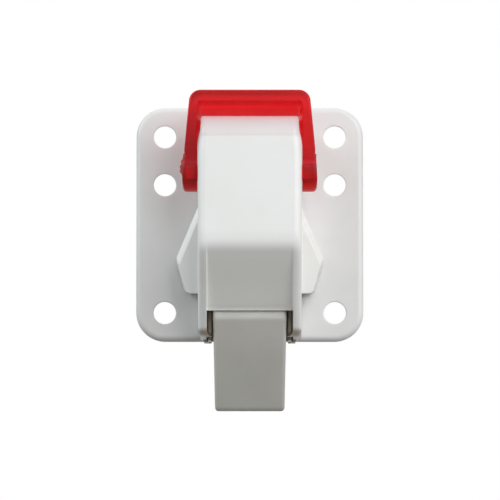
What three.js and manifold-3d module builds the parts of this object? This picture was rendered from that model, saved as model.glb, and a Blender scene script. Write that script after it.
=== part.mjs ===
// A spring-bolt cabinet lock: a screwed-on plate, a moulded housing, a wedge bolt and a release bail.
// Millimetres. The part's +Z is up, its back lies on the door at y = 0 and its front looks along -Y.
// The pieces are drawn in a frame of x across, y up and z out from the door, and turned at the end.
import * as THREE from "three";
import { mergeVertices } from "three/addons/utils/BufferGeometryUtils.js";
import Module from "manifold-3d";

const wasm = await Module();
wasm.setup();

// Gap between pieces that seat on each other, and between pieces that slide or turn.
const SEAT_GAP = 0.3;
const RUNNING_GAP = 0.3;

// Base plate, its fixing holes, and the bolt's guide rails with their toes below the plate's edge
const PLATE_WIDTH = 50;
const PLATE_HEIGHT = 52.5;
const PLATE_THICKNESS = 3;
const PLATE_CORNER = 6.5;
const PLATE_RIM = 1.2;
const FIXING_BORE = 4.9;
const FIXING_SIDE_INSET = 6.3;
const FIXING_END_INSET = 6.65;
const FIXING_PITCH = 10.7;
const RAIL_WIDTH = 0.8;
const RAIL_DEPTH = 4;
const RAIL_TOP = -10.2;
const TOE_WIDTH = 1.7;
const TOE_DROP = 0.5;
const TOE_DEPTH = 1.2;

// Housing: a shell with rounded top, straight front and sloped panel between two cheeks
const HOUSING_WIDTH = 22.7;
const HOUSING_DEPTH = 22.5;
const HOUSING_TOP = 21.3;
const HOUSING_FOOT_INSET = 0.35;
const CHEEK_WALL = 1.9;
const SHELL_WALL = 1.5;
const TOP_ROUND = 5.5;
const TOP_NARROWING = 0.6;
const SIDE_EDGE_ROUND = 1.9;
const FOOT_ROUND = 1.3;
const SLOPE_ANGLE = THREE.MathUtils.degToRad(38);
const SLOPE_CORNER = -7.5;
const SLOPE_BLEND = 8.9;
const PANEL_SINK = 0.4;
const LIP_GAP = 0.4;

// Kite-shaped wings beside the housing
const WING_TOP = 2.7;
const WING_POINT = -8.7;
const WING_POINT_REACH = 4.75;
const WING_FOOT = -16.8;
const WING_FOOT_REACH = 2.45;
const WING_FOOT_ROUND = 1.2;
const WING_HEIGHT = 9.5;
const WING_BEVEL = 1.1;

// Housing screws, driven from the plate's back into the wings and into two bosses
const SCREW_SHANK = 2.2;
const SCREW_HEAD = 4.4;
const SCREW_HEAD_HEIGHT = 1.4;
const SCREW_HEAD_CHAMFER = 0.4;
const SCREW_SINK = 0.2;
const SCREW_COVER = 2.1;
const CROSS_LENGTH = 2.4;
const CROSS_WIDTH = 0.6;
const CROSS_DEPTH = 0.7;
const BOSS_DIAMETER = 4;
const BOSS_OFF_WALL = 0.65;
const UPPER_SCREW_DROP = 4.1;
const LOWER_SCREW_OFF_WALL = 2.2;
const LOWER_SCREW_HEIGHT = -9.5;

// Bolt
const BOLT_DEPTH = 9.6;
const BOLT_PROJECTION = 15.25;
const BOLT_TIP_DEPTH = 1.2;
const BOLT_TIP_NARROWING = 0.4;
const BOLT_FACE_BELOW_LIP = 1.6;
const BOLT_EDGE_ROUND = 0.9;
const SHOULDER_ROOM = 0.8;
const STEM_ROOM = 0.5;
const EAR_HEIGHT = 2.9;
const LUG_WIDTH = 3.4;
const LUG_HEIGHT = 1.8;
const LUG_OVERHANG = 0.45;

// Bolt springs, the guide pins inside them and the ledges that they push against
const SPRING_DIAMETER = 4.2;
const SPRING_WIRE = 0.6;
const SPRING_TURNS = 8;
const SPRING_SIDE_INSET = 3.25;
const SPRING_POCKET = 8.4;
const LEDGE_HEIGHT = 2.4;
const LEDGE_DEPTH = 5.2;
const GUIDE_DIAMETER = 2;
const GUIDE_HEAD = 3.6;
const GUIDE_HEAD_HEIGHT = 0.6;
const GUIDE_ROOM = 0.8;

// Release bail
const AXIS_HEIGHT = 9.2;
const AXIS_DEPTH = 14.5;
const BAIL_HEADROOM = 1.2;
const BAIL_BAR_SLOPE = 1.9;
const BAIL_BAR_HEIGHT = 2.65;
const BAIL_BAND = 9;
const BAIL_LEG = 2.8;
const BAIL_LEG_FOOT = 5.9;
const BAIL_LEAN = 1.05;
const BAIL_CORNER = 2.1;
const BAIL_CORNER_WEB = 0.75;
const BAIL_EDGE_ROUND = 1;
const BAIL_BOSS = 8.2;
const BAIL_BOSS_BULGE = 0.3;
const SOCKET_FLOOR = 0.5;

// Bail shaft, its bushes, and the two cranks that lift the bolt
const SHAFT_DIAMETER = 4.2;
const SHAFT_FLATS = 3.2;
const SHAFT_SQUARE = 2.9;
const BUSH_WALL = 0.7;
const BUSH_RIM = 1.1;
const BUSH_RIM_HEIGHT = 0.8;
const CRANK_RADIUS = 8;
const CRANK_REST = THREE.MathUtils.degToRad(35);
const CRANK_WALL = 1.6;
const CRANK_ARM_WIDTH = 2;
const CRANK_ARM_THICKNESS = 2.6;
const CRANK_TIP = 3;
const CRANK_ROOM = 0.7;
const SPACER_LENGTH = 5.2;

// How far a cut runs past the face that it opens
const OVERRUN = 1;

// Facets of a full round, of a rounded corner and of the spring
const ROUND_SIDES = 20;
const ARC_STEPS = 4;
const COIL_STEPS = 8;
const WIRE_SIDES = 5;

// Places that more than one piece shares
const SIDES = { left: -1, right: 1 };
const plateFront = PLATE_THICKNESS;
const plateHalf = PLATE_WIDTH / 2;
const plateEnd = PLATE_HEIGHT / 2;
const housingBack = plateFront + SEAT_GAP;
const housingFront = plateFront + HOUSING_DEPTH;
const housingFoot = HOUSING_FOOT_INSET - plateEnd;
const housingHalf = HOUSING_WIDTH / 2;
const mouthHalf = housingHalf - CHEEK_WALL;
const railOuter = mouthHalf - RUNNING_GAP;
const axisDepth = plateFront + AXIS_DEPTH;
const boltBack = plateFront + RUNNING_GAP;
const boltFront = boltBack + BOLT_DEPTH;
const boltHalf = railOuter - RAIL_WIDTH - RUNNING_GAP;
const stemFront = axisDepth - CRANK_RADIUS - CRANK_TIP / 2 - CRANK_ROOM;
const lipRun = housingFront - SHELL_WALL / Math.cos(SLOPE_ANGLE) - boltFront - LIP_GAP;
const lipHeight = SLOPE_CORNER - lipRun / Math.tan(SLOPE_ANGLE);

// The crank's tip at rest, the slot in the bolt that it works in, and how far it lifts the bolt
const crankTipHeight = AXIS_HEIGHT - CRANK_RADIUS * Math.sin(CRANK_REST);
const crankTipDepth = axisDepth - CRANK_RADIUS * Math.cos(CRANK_REST);
const slotTop = crankTipHeight + CRANK_TIP / 2 + RUNNING_GAP;
const slotBottom = crankTipHeight - CRANK_TIP / 2 - RUNNING_GAP;
const boltTravel = 2 * CRANK_RADIUS * Math.sin(CRANK_REST);

// The stack from the bolt's lower lugs down to the floor of its spring pockets
const ledgeTop = slotBottom - LUG_HEIGHT - RUNNING_GAP - GUIDE_HEAD_HEIGHT - SEAT_GAP;
const ledgeBottom = ledgeTop - LEDGE_HEIGHT;
const ledgeBack = stemFront + RUNNING_GAP;
const boltShoulder = ledgeBottom - boltTravel - SHOULDER_ROOM;
const pocketFloor = boltShoulder - SPRING_POCKET;
const springPlace = boltHalf - SPRING_SIDE_INSET;
const springDepth = stemFront + RUNNING_GAP + SPRING_DIAMETER / 2;

// Across the shaft, from the middle outwards
const crankHub = SHAFT_DIAMETER + 2 * CRANK_WALL;
const crankInnerFace = SPACER_LENGTH / 2 + SEAT_GAP;
const crankMiddle = crankInnerFace + SEAT_GAP + CRANK_ARM_THICKNESS / 2;
const bushInnerFace = mouthHalf - SEAT_GAP - BUSH_RIM_HEIGHT;
const crankOuterFace = bushInnerFace - RUNNING_GAP;
const bushDiameter = SHAFT_DIAMETER + 2 * (RUNNING_GAP + BUSH_WALL);
const bailInnerHalf = housingHalf + RUNNING_GAP;
const bailFootHalf = bailInnerHalf + BAIL_LEG;
const socketHalf = bailFootHalf + BAIL_BOSS_BULGE - SOCKET_FLOOR;

// The housing screws: their places, their hole and how far out their heads seat and their tips reach
const screwPlaces = {
  upper: [mouthHalf - BOSS_OFF_WALL, HOUSING_TOP - UPPER_SCREW_DROP],
  lower: [housingHalf + LOWER_SCREW_OFF_WALL, LOWER_SCREW_HEIGHT],
};
const screwHole = SCREW_SHANK + 2 * SEAT_GAP;
const screwSeat = SCREW_SINK + SCREW_HEAD_HEIGHT;
const screwTip = plateFront + WING_HEIGHT - SCREW_COVER;
const stemHalf = screwPlaces.upper[0] - BOSS_DIAMETER / 2 - STEM_ROOM;

const origin = new THREE.Vector2();

// Even steps from one value to another, such as the angles of an arc.
function spread(from, to) {
  return Array.from({ length: ARC_STEPS + 1 }, (_, step) => from + ((to - from) * step) / ARC_STEPS);
}

// A closed geometry as a solid that can be joined and cut.
function solid(geometry) {
  const loose = geometry.index ? geometry.toNonIndexed() : geometry;
  const bare = new THREE.BufferGeometry().setAttribute("position", loose.getAttribute("position"));
  const merged = mergeVertices(bare, 1e-4);
  const vertProperties = merged.getAttribute("position").array;
  const triVerts = new Uint32Array(merged.index.array);
  return new wasm.Manifold(new wasm.Mesh({ numProp: 3, vertProperties, triVerts }));
}

// The faceted surface of a solid, with a normal for each face.
function surface(made) {
  const { vertProperties, triVerts } = made.getMesh();
  const indexed = new THREE.BufferGeometry();
  indexed.setAttribute("position", new THREE.BufferAttribute(vertProperties, 3));
  indexed.setIndex(new THREE.BufferAttribute(triVerts, 1));
  const flat = indexed.toNonIndexed();
  flat.computeVertexNormals();
  return flat;
}

// The points of a closed outline through corners given as [x, y, radius], each rounded by its tangent arc.
function outline(corners) {
  const corner = (i) => new THREE.Vector2(...corners.at(i % corners.length).slice(0, 2));
  return corners.flatMap(([x, y, radius = 0], i) => {
    const here = new THREE.Vector2(x, y);
    if (radius === 0) return [here];
    const back = corner(i - 1).sub(here).normalize();
    const on = corner(i + 1).sub(here).normalize();
    const half = Math.acos(back.dot(on)) / 2;
    const centre = back.clone().add(on).setLength(radius / Math.sin(half)).add(here);
    const start = back.clone().setLength(radius / Math.tan(half)).add(here).sub(centre);
    const turn = Math.sign(on.cross(back)) * (Math.PI - 2 * half);
    return spread(0, turn).map((angle) => start.clone().rotateAround(origin, angle).add(centre));
  });
}

// A closed skin through rings of equal length, anticlockwise seen from the last ring's end.
function loft(rings) {
  const count = rings[0].length;
  const last = (rings.length - 1) * count;
  const index = [];
  for (let start = 0; start < last; start += count) {
    for (let i = 0; i < count; i += 1) {
      const a = start + i;
      const b = start + ((i + 1) % count);
      index.push(a, b, b + count, a, b + count, a + count);
    }
  }
  for (let i = 1; i < count - 1; i += 1) {
    index.push(0, i + 1, i, last, last + i, last + i + 1);
  }
  return new THREE.BufferGeometry().setFromPoints(rings.flat()).setIndex(index);
}

// The mirror image of an indexed geometry across the middle plane.
function mirrored(geometry) {
  const copy = geometry.clone().scale(-1, 1, 1);
  return copy.setIndex([...copy.index.array].reverse());
}

// A box between two corners.
function block(low, high) {
  const size = high.map((value, i) => value - low[i]);
  return new THREE.BoxGeometry(...size).translate(...low.map((value, i) => value + size[i] / 2));
}

// A flat outline given across and up, thickened outwards between two depths.
function frontPrism(points, from, to) {
  const options = { depth: to - from, bevelEnabled: false };
  return new THREE.ExtrudeGeometry(new THREE.Shape(points), options).translate(0, 0, from);
}

// A side outline given outwards and up, carried across the lock between two places.
function sidePrism(points, from, to) {
  const options = { depth: to - from, bevelEnabled: false };
  const prism = new THREE.ExtrudeGeometry(new THREE.Shape(points), options);
  return prism.rotateY(-Math.PI / 2).translate(to, 0, 0);
}

// A round bar along x, y or z between two places, centred on the other two coordinates.
function bar(axis, diameter, from, to, [first, second]) {
  const round = new THREE.CylinderGeometry(diameter / 2, diameter / 2, to - from, ROUND_SIDES);
  const middle = (from + to) / 2;
  if (axis === "x") return round.rotateZ(Math.PI / 2).translate(middle, first, second);
  if (axis === "y") return round.translate(first, middle, second);
  return round.rotateX(Math.PI / 2).translate(first, second, middle);
}

// A ring at one height: flat behind, with its two front corners rounded.
function section({ up, half, back, front, round }) {
  const radius = Math.min(round, half, front - back);
  const ring = [new THREE.Vector3(-half, up, back), new THREE.Vector3(half, up, back)];
  for (const side of [1, -1]) {
    const start = side > 0 ? 0 : Math.PI / 2;
    for (const turn of spread(start, start + Math.PI / 2)) {
      const across = side * (half - radius) + radius * Math.cos(turn);
      ring.push(new THREE.Vector3(across, up, front - radius + radius * Math.sin(turn)));
    }
  }
  return ring;
}

// The housing's side line from its top down to a foot, as heights and depths, sunk by an inset.
function sideLine(inset, foot) {
  const line = [];
  const arc = (height, depth, radius, from, to) => {
    for (const turn of spread(from, to)) {
      line.push({ up: height + radius * Math.sin(turn), front: depth + radius * Math.cos(turn) });
    }
  };
  const blendTop = SLOPE_CORNER + SLOPE_BLEND * Math.tan(SLOPE_ANGLE / 2);
  arc(HOUSING_TOP - TOP_ROUND, housingFront - TOP_ROUND, TOP_ROUND - inset, Math.PI / 2, 0);
  arc(blendTop, housingFront - SLOPE_BLEND, SLOPE_BLEND - inset, 0, -SLOPE_ANGLE);
  const { up, front } = line.at(-1);
  line.push({ up: foot, front: front - (up - foot) * Math.tan(SLOPE_ANGLE) });
  return line;
}

// Two places on one side of the lock, lowest first.
function ordered(side, from, to) {
  return [side * from, side * to].sort((a, b) => a - b);
}

// A ring round the plate at one depth, drawn in by an inset.
function plateRing(inset, depth) {
  const x = plateHalf - inset;
  const y = plateEnd - inset;
  const r = PLATE_CORNER - inset;
  const corners = [[x, y, r], [-x, y, r], [-x, -y, r], [x, -y, r]];
  return outline(corners).map((p) => new THREE.Vector3(p.x, p.y, depth));
}

// One guide rail for the bolt, with a toe that closes the foot of the housing's cheek.
function guideRail(side) {
  const foot = -plateEnd - TOE_DROP;
  const root = plateFront - PLATE_RIM;
  const railInner = railOuter - RAIL_WIDTH;
  const [railLow, railHigh] = ordered(side, railInner, railOuter);
  const [toeLow, toeHigh] = ordered(side, railInner, railInner + TOE_WIDTH);
  const rail = block([railLow, foot, root], [railHigh, RAIL_TOP, plateFront + RAIL_DEPTH]);
  const toe = block([toeLow, foot, root], [toeHigh, housingFoot - SEAT_GAP, plateFront + TOE_DEPTH]);
  return solid(rail).add(solid(toe));
}

function basePlate() {
  const rim = spread(0, Math.PI / 2).map((turn) => plateRing(
    PLATE_RIM * (1 - Math.cos(turn)),
    plateFront - PLATE_RIM * (1 - Math.sin(turn)),
  ));
  const topFixing = plateEnd - FIXING_END_INSET;
  let plate = solid(loft([plateRing(0, 0), ...rim]));
  for (const side of Object.values(SIDES)) {
    plate = plate.add(guideRail(side));
    for (const height of [topFixing, topFixing - FIXING_PITCH, -topFixing]) {
      const fixing = [side * (plateHalf - FIXING_SIDE_INSET), height];
      plate = plate.subtract(solid(bar("z", FIXING_BORE, -OVERRUN, plateFront + OVERRUN, fixing)));
    }
    for (const [x, y] of Object.values(screwPlaces)) {
      const hole = bar("z", screwHole, -OVERRUN, plateFront + OVERRUN, [side * x, y]);
      const recess = bar("z", SCREW_HEAD + 2 * SEAT_GAP, -OVERRUN, screwSeat + SEAT_GAP, [side * x, y]);
      plate = plate.subtract(solid(hole)).subtract(solid(recess));
    }
  }
  return surface(plate);
}

// The housing's outer skin: its side line widened to cheeks that draw in at the top and the foot.
function housingSkin() {
  const line = sideLine(0, housingFoot + FOOT_ROUND);
  const stations = line.map(({ up, front }) => {
    const reach = Math.max(0, (up - HOUSING_TOP + TOP_ROUND) / TOP_ROUND);
    const narrowing = TOP_NARROWING * (1 - Math.sqrt(Math.max(0, 1 - reach * reach)));
    return { up, front, half: housingHalf - narrowing };
  });
  const foot = line.at(-1);
  for (const turn of spread(0, Math.PI / 2).slice(1)) {
    const drop = FOOT_ROUND * Math.sin(turn);
    const drawIn = FOOT_ROUND * (1 - Math.cos(turn));
    const front = foot.front - drop * Math.tan(SLOPE_ANGLE) - drawIn;
    stations.push({ up: foot.up - drop, front, half: housingHalf - drawIn });
  }
  return loft(stations.map((s) => section({ ...s, back: housingBack, round: SIDE_EDGE_ROUND })));
}

// The hollow inside the housing, open to the plate behind and to the mouth below.
function housingHollow() {
  const beyond = housingFoot - OVERRUN;
  const stations = sideLine(SHELL_WALL, beyond).map((s) => ({ ...s, half: mouthHalf, back: 0 }));
  const round = SIDE_EDGE_ROUND - SHELL_WALL;
  const hollow = solid(loft(stations.map((s) => section({ ...s, round }))));
  const mouth = block([-mouthHalf, beyond, 0], [mouthHalf, lipHeight, housingFront]);
  return hollow.add(solid(mouth));
}

// The shallow sink that leaves the sloped panel below the faces of its two cheeks.
function panelSink() {
  const { up, front } = sideLine(0, lipHeight).at(-2);
  const sunk = PANEL_SINK / Math.cos(SLOPE_ANGLE);
  const drop = up - lipHeight + OVERRUN;
  const run = drop * Math.tan(SLOPE_ANGLE);
  const clear = front + OVERRUN;
  const corners = [[front - sunk, up], [front - sunk - run, up - drop], [clear, up - drop], [clear, up]];
  return solid(sidePrism(outline(corners), -mouthHalf, mouthHalf));
}

// One wing: a kite lofted up from the plate, with its upper edge bevelled.
function wing() {
  const root = housingHalf - CHEEK_WALL / 2;
  const rootRise = ((housingHalf - root) * (WING_TOP - WING_POINT)) / WING_POINT_REACH;
  const top = new THREE.Vector2(root, WING_TOP + rootRise);
  const point = new THREE.Vector2(housingHalf + WING_POINT_REACH, WING_POINT);
  const foot = new THREE.Vector2(housingHalf + WING_FOOT_REACH, WING_FOOT);
  const along = point.clone().sub(top).normalize();
  const inwards = new THREE.Vector2(along.y, -along.x);
  const ring = (bevel, depth) => {
    const cornerTop = [root, top.y + bevel / inwards.y];
    const toFoot = foot.clone().sub(point);
    const cornerPoint = point.clone().addScaledVector(toFoot, bevel / inwards.dot(toFoot));
    const corners = [cornerTop, [root, WING_FOOT], [foot.x, foot.y, WING_FOOT_ROUND], cornerPoint.toArray()];
    return outline(corners).map((p) => new THREE.Vector3(p.x, p.y, depth));
  };
  const high = plateFront + WING_HEIGHT;
  return loft([ring(0, housingBack), ring(0, high - WING_BEVEL), ring(WING_BEVEL, high)]);
}

// The ledge inside a cheek that a bolt spring pushes against.
function springLedge(side) {
  const [low, high] = ordered(side, springPlace - SPRING_DIAMETER / 2, mouthHalf + CHEEK_WALL / 2);
  return block([low, ledgeBottom, ledgeBack], [high, ledgeTop, ledgeBack + LEDGE_DEPTH]);
}

function housing() {
  const [bossX, bossY] = screwPlaces.upper;
  let shell = solid(housingSkin()).subtract(housingHollow()).subtract(panelSink());
  for (const side of Object.values(SIDES)) {
    const flank = side < 0 ? mirrored(wing()) : wing();
    const boss = bar("z", BOSS_DIAMETER, housingBack, screwTip + SCREW_COVER, [side * bossX, bossY]);
    shell = shell.add(solid(flank)).add(solid(boss)).add(solid(springLedge(side)));
    const guideHole = GUIDE_DIAMETER + 2 * SEAT_GAP;
    const guidePlace = [side * springPlace, springDepth];
    const guideWay = bar("y", guideHole, ledgeBottom - OVERRUN, ledgeTop + OVERRUN, guidePlace);
    shell = shell.subtract(solid(guideWay));
    for (const [x, y] of Object.values(screwPlaces)) {
      shell = shell.subtract(solid(bar("z", screwHole, 0, screwTip + SEAT_GAP, [side * x, y])));
    }
  }
  const shaftHole = bushDiameter + 2 * SEAT_GAP;
  const shaftReach = housingHalf + OVERRUN;
  const shaftWay = bar("x", shaftHole, -shaftReach, shaftReach, [AXIS_HEIGHT, axisDepth]);
  return surface(shell.subtract(solid(shaftWay)));
}

// The wedge that stands out of the mouth, flat in front down to its bevel.
function boltWedge() {
  const tip = -plateEnd - BOLT_PROJECTION;
  const tipHalf = boltHalf - BOLT_TIP_NARROWING;
  const round = BOLT_EDGE_ROUND;
  const station = (up, half, depth) => section({ up, half, back: boltBack, front: boltBack + depth, round });
  return loft([
    station(boltShoulder, boltHalf, BOLT_DEPTH),
    station(lipHeight - BOLT_FACE_BELOW_LIP, boltHalf, BOLT_DEPTH),
    station(tip + round, tipHalf, BOLT_TIP_DEPTH + round / 2),
    station(tip, tipHalf - round / 2, BOLT_TIP_DEPTH),
  ]);
}

// The bolt: the wedge, a flat stem up behind the cranks with ears over the rails, and two slotted lugs.
function latchBolt() {
  const earBottom = RAIL_TOP + RUNNING_GAP;
  const stemTop = slotTop + LUG_HEIGHT;
  const stem = block([-stemHalf, boltShoulder - OVERRUN, boltBack], [stemHalf, stemTop, stemFront]);
  const ears = block([-railOuter, earBottom, boltBack], [railOuter, earBottom + EAR_HEIGHT, stemFront]);
  let bolt = solid(boltWedge()).add(solid(stem)).add(solid(ears));
  for (const side of Object.values(SIDES)) {
    for (const bottom of [slotTop, slotBottom - LUG_HEIGHT]) {
      const [low, high] = ordered(side, crankMiddle - LUG_WIDTH / 2, crankMiddle + LUG_WIDTH / 2);
      const lug = block([low, bottom, boltBack], [high, bottom + LUG_HEIGHT, crankTipDepth + LUG_OVERHANG]);
      bolt = bolt.add(solid(lug));
    }
    const pocket = SPRING_DIAMETER + 2 * RUNNING_GAP;
    const pocketPlace = [side * springPlace, springDepth];
    const pocketWay = bar("y", pocket, pocketFloor, boltShoulder + OVERRUN, pocketPlace);
    bolt = bolt.subtract(solid(pocketWay));
  }
  return surface(bolt);
}

// A round-wire compression spring as one helix, as radius, turn and height: (r, t, rise * t / all turns).
function boltSpring(side) {
  const steps = SPRING_TURNS * COIL_STEPS;
  const wire = SPRING_WIRE / 2;
  const bottom = pocketFloor + SEAT_GAP + wire;
  const rise = ledgeBottom - SEAT_GAP - wire - bottom;
  const rings = Array.from({ length: steps + 1 }, (_, step) => {
    const turn = (2 * Math.PI * step) / COIL_STEPS;
    return Array.from({ length: WIRE_SIDES }, (__, k) => {
      const around = (2 * Math.PI * k) / WIRE_SIDES;
      const reach = SPRING_DIAMETER / 2 - wire + wire * Math.cos(around);
      return new THREE.Vector3(
        side * springPlace + reach * Math.cos(turn),
        bottom + (rise * step) / steps - wire * Math.sin(around),
        springDepth - reach * Math.sin(turn),
      );
    });
  });
  printLeastGap(rings);
  return loft(rings);
}

// Measures the spring's gap from each ring of wire to the rings one turn on, on the rings' own points.
function printLeastGap(rings) {
  const gaps = rings.slice(0, -COIL_STEPS).flatMap((ring, i) => (
    ring.flatMap((p) => rings[i + COIL_STEPS].map((q) => p.distanceTo(q)))
  ));
  console.log(`least gap between spring turns: ${Math.min(...gaps).toFixed(2)} mm`);
}

// A turned piece: its profile given as [radius, place along its axis].
function turned(profile, sides) {
  return new THREE.LatheGeometry(profile.map(([r, along]) => new THREE.Vector2(r, along)), sides);
}

// A headed pin that hangs from the housing's ledge inside its spring.
function springGuide(side) {
  const seat = ledgeTop + SEAT_GAP;
  const bottom = pocketFloor + boltTravel + GUIDE_ROOM;
  const shank = GUIDE_DIAMETER / 2;
  const head = GUIDE_HEAD / 2;
  const top = seat + GUIDE_HEAD_HEIGHT;
  const profile = [[0, bottom], [shank, bottom], [shank, seat], [head, seat], [head, top], [0, top]];
  return turned(profile, ROUND_SIDES / 2).translate(side * springPlace, 0, springDepth);
}

// The bail: a leaning U seen from the front, cut to a band with round bosses seen from the side.
function releaseBail() {
  const front = axisDepth + BAIL_BAND / 2;
  const back = axisDepth - BAIL_BAND / 2;
  const underBack = HOUSING_TOP + BAIL_HEADROOM;
  const underFront = underBack + BAIL_BAR_SLOPE;
  const top = underFront + BAIL_BAR_HEIGHT;
  const topHalf = bailFootHalf - BAIL_LEAN;
  const low = AXIS_HEIGHT - BAIL_BOSS / 2;
  const legFoot = BAIL_LEG_FOOT / 2;
  const face = outline([
    [bailFootHalf, low - OVERRUN], [topHalf, top, BAIL_CORNER],
    [-topHalf, top, BAIL_CORNER], [-bailFootHalf, low - OVERRUN],
  ]);
  const edge = outline([
    [axisDepth - legFoot, AXIS_HEIGHT], [axisDepth + legFoot, AXIS_HEIGHT], [front, underFront],
    [front, top, BAIL_EDGE_ROUND], [back, top, BAIL_EDGE_ROUND], [back, underBack],
  ]);
  const band = solid(sidePrism(edge, -bailFootHalf, bailFootHalf));
  const bossOut = bailFootHalf + BAIL_BOSS_BULGE;
  const bosses = bar("x", BAIL_BOSS, -bossOut, bossOut, [AXIS_HEIGHT, axisDepth]);
  const bail = solid(frontPrism(face, back - OVERRUN, front + OVERRUN)).intersect(band).add(solid(bosses));

  const neck = bailInnerHalf - BAIL_CORNER_WEB;
  const [clearBack, clearFront, clearLow] = [back - OVERRUN, front + OVERRUN, low - OVERRUN];
  const under = outline([
    [clearBack, clearLow], [clearFront, clearLow], [clearFront, underFront], [clearBack, underBack],
  ]);
  const inside = block(
    [-bailInnerHalf, clearLow, clearBack],
    [bailInnerHalf, HOUSING_TOP + RUNNING_GAP, clearFront],
  );
  const socket = squareBar(socketHalf, SHAFT_SQUARE + 2 * SEAT_GAP);
  const opening = solid(sidePrism(under, -neck, neck)).add(solid(inside)).add(solid(socket));
  return surface(bail.subtract(opening));
}

// A square bar along the bail's axis, from one end to the other.
function squareBar(half, width) {
  return block(
    [-half, AXIS_HEIGHT - width / 2, axisDepth - width / 2],
    [half, AXIS_HEIGHT + width / 2, axisDepth + width / 2],
  );
}

// The shaft: round in its bushes, with two flats under the cranks and square ends in the bail's sockets.
function bailShaft() {
  const round = SHAFT_DIAMETER / 2 + OVERRUN;
  const centre = [AXIS_HEIGHT, axisDepth];
  const flatBlock = (half, flats) => solid(block(
    [-half, AXIS_HEIGHT - round, axisDepth - flats],
    [half, AXIS_HEIGHT + round, axisDepth + flats],
  ));
  const between = flatBlock(crankOuterFace + OVERRUN, SHAFT_FLATS / 2);
  const flatCuts = flatBlock(crankOuterFace, round).subtract(between);
  const journal = solid(bar("x", SHAFT_DIAMETER, -housingHalf, housingHalf, centre)).subtract(flatCuts);
  const squareStart = housingHalf - SEAT_GAP;
  const ends = solid(squareBar(socketHalf - SEAT_GAP, SHAFT_SQUARE)).subtract(flatBlock(squareStart, round));
  return surface(journal.add(ends));
}

// A flanged bush in the housing's side wall, with its flange inside.
function shaftBush(side) {
  const bore = SHAFT_DIAMETER / 2 + RUNNING_GAP;
  const barrel = bushDiameter / 2;
  const rim = barrel + BUSH_RIM;
  const seat = bushInnerFace + BUSH_RIM_HEIGHT;
  const end = housingHalf - SEAT_GAP;
  const profile = [
    [bore, bushInnerFace], [rim, bushInnerFace], [rim, seat], [barrel, seat],
    [barrel, end], [bore, end], [bore, bushInnerFace],
  ];
  return turned(profile, ROUND_SIDES).rotateZ((-side * Math.PI) / 2).translate(0, AXIS_HEIGHT, axisDepth);
}

// A crank on the shaft's flats: a hub, an arm down towards the plate and a round tip in the bolt's slot.
function liftCrank(side) {
  const centre = [AXIS_HEIGHT, axisDepth];
  const hubEdges = ordered(side, crankInnerFace, crankOuterFace);
  const armHalf = CRANK_ARM_THICKNESS / 2;
  const [low, high] = ordered(side, crankMiddle - armHalf, crankMiddle + armHalf);
  const armWidth = CRANK_ARM_WIDTH / 2;
  const arm = block([low, -armWidth, -CRANK_RADIUS], [high, armWidth, 0]);
  arm.rotateX(-CRANK_REST).translate(0, ...centre);
  const tip = bar("x", CRANK_TIP, low, high, [crankTipHeight, crankTipDepth]);
  const hub = bar("x", crankHub, ...hubEdges, centre);
  const bore = SHAFT_DIAMETER + SEAT_GAP;
  const flats = (SHAFT_FLATS + SEAT_GAP) / 2;
  const start = hubEdges[0] - OVERRUN;
  const end = hubEdges[1] + OVERRUN;
  const slab = block(
    [start, AXIS_HEIGHT - bore, axisDepth - flats],
    [end, AXIS_HEIGHT + bore, axisDepth + flats],
  );
  const way = solid(bar("x", bore, start, end, centre)).intersect(solid(slab));
  return surface(solid(hub).add(solid(arm)).add(solid(tip)).subtract(way));
}

// The sleeve on the shaft between the two cranks.
function crankSpacer() {
  const bore = SHAFT_DIAMETER / 2 + SEAT_GAP;
  const outer = crankHub / 2;
  const half = SPACER_LENGTH / 2;
  const profile = [[bore, -half], [outer, -half], [outer, half], [bore, half], [bore, -half]];
  return turned(profile, ROUND_SIDES).rotateZ(Math.PI / 2).translate(0, AXIS_HEIGHT, axisDepth);
}

// A pan-head screw in its recess at the plate's back, with a cross recess in its head.
function housingScrew(x, y) {
  const shank = SCREW_SHANK / 2;
  const head = SCREW_HEAD / 2;
  const profile = [
    [0, SCREW_SINK], [head - SCREW_HEAD_CHAMFER, SCREW_SINK], [head, SCREW_SINK + SCREW_HEAD_CHAMFER],
    [head, screwSeat], [shank, screwSeat], [shank, screwTip - shank], [0, screwTip],
  ];
  const slot = (width, height) => solid(block(
    [x - width / 2, y - height / 2, -OVERRUN],
    [x + width / 2, y + height / 2, SCREW_SINK + CROSS_DEPTH],
  ));
  const screw = solid(turned(profile, ROUND_SIDES / 2).rotateX(Math.PI / 2).translate(x, y, 0));
  return surface(screw.subtract(slot(CROSS_LENGTH, CROSS_WIDTH).add(slot(CROSS_WIDTH, CROSS_LENGTH))));
}

const whitePlastic = new THREE.MeshStandardMaterial({ color: 0xe4e4e1, roughness: 0.35, metalness: 0 });
const greyPlastic = new THREE.MeshStandardMaterial({ color: 0x9c9b94, roughness: 0.5, metalness: 0 });
const redPlastic = new THREE.MeshStandardMaterial({
  color: 0xcc2a2e, roughness: 0.25, metalness: 0, transparent: true, opacity: 0.8,
});
const steel = new THREE.MeshStandardMaterial({ color: 0xb4b6b8, roughness: 0.35, metalness: 1 });
const bushPlastic = new THREE.MeshStandardMaterial({ color: 0x2b2b2b, roughness: 0.5, metalness: 0 });

const lock = new THREE.Group();
const place = (name, geometry, material) => {
  const mesh = new THREE.Mesh(geometry, material);
  mesh.name = name;
  lock.add(mesh);
};

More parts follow.
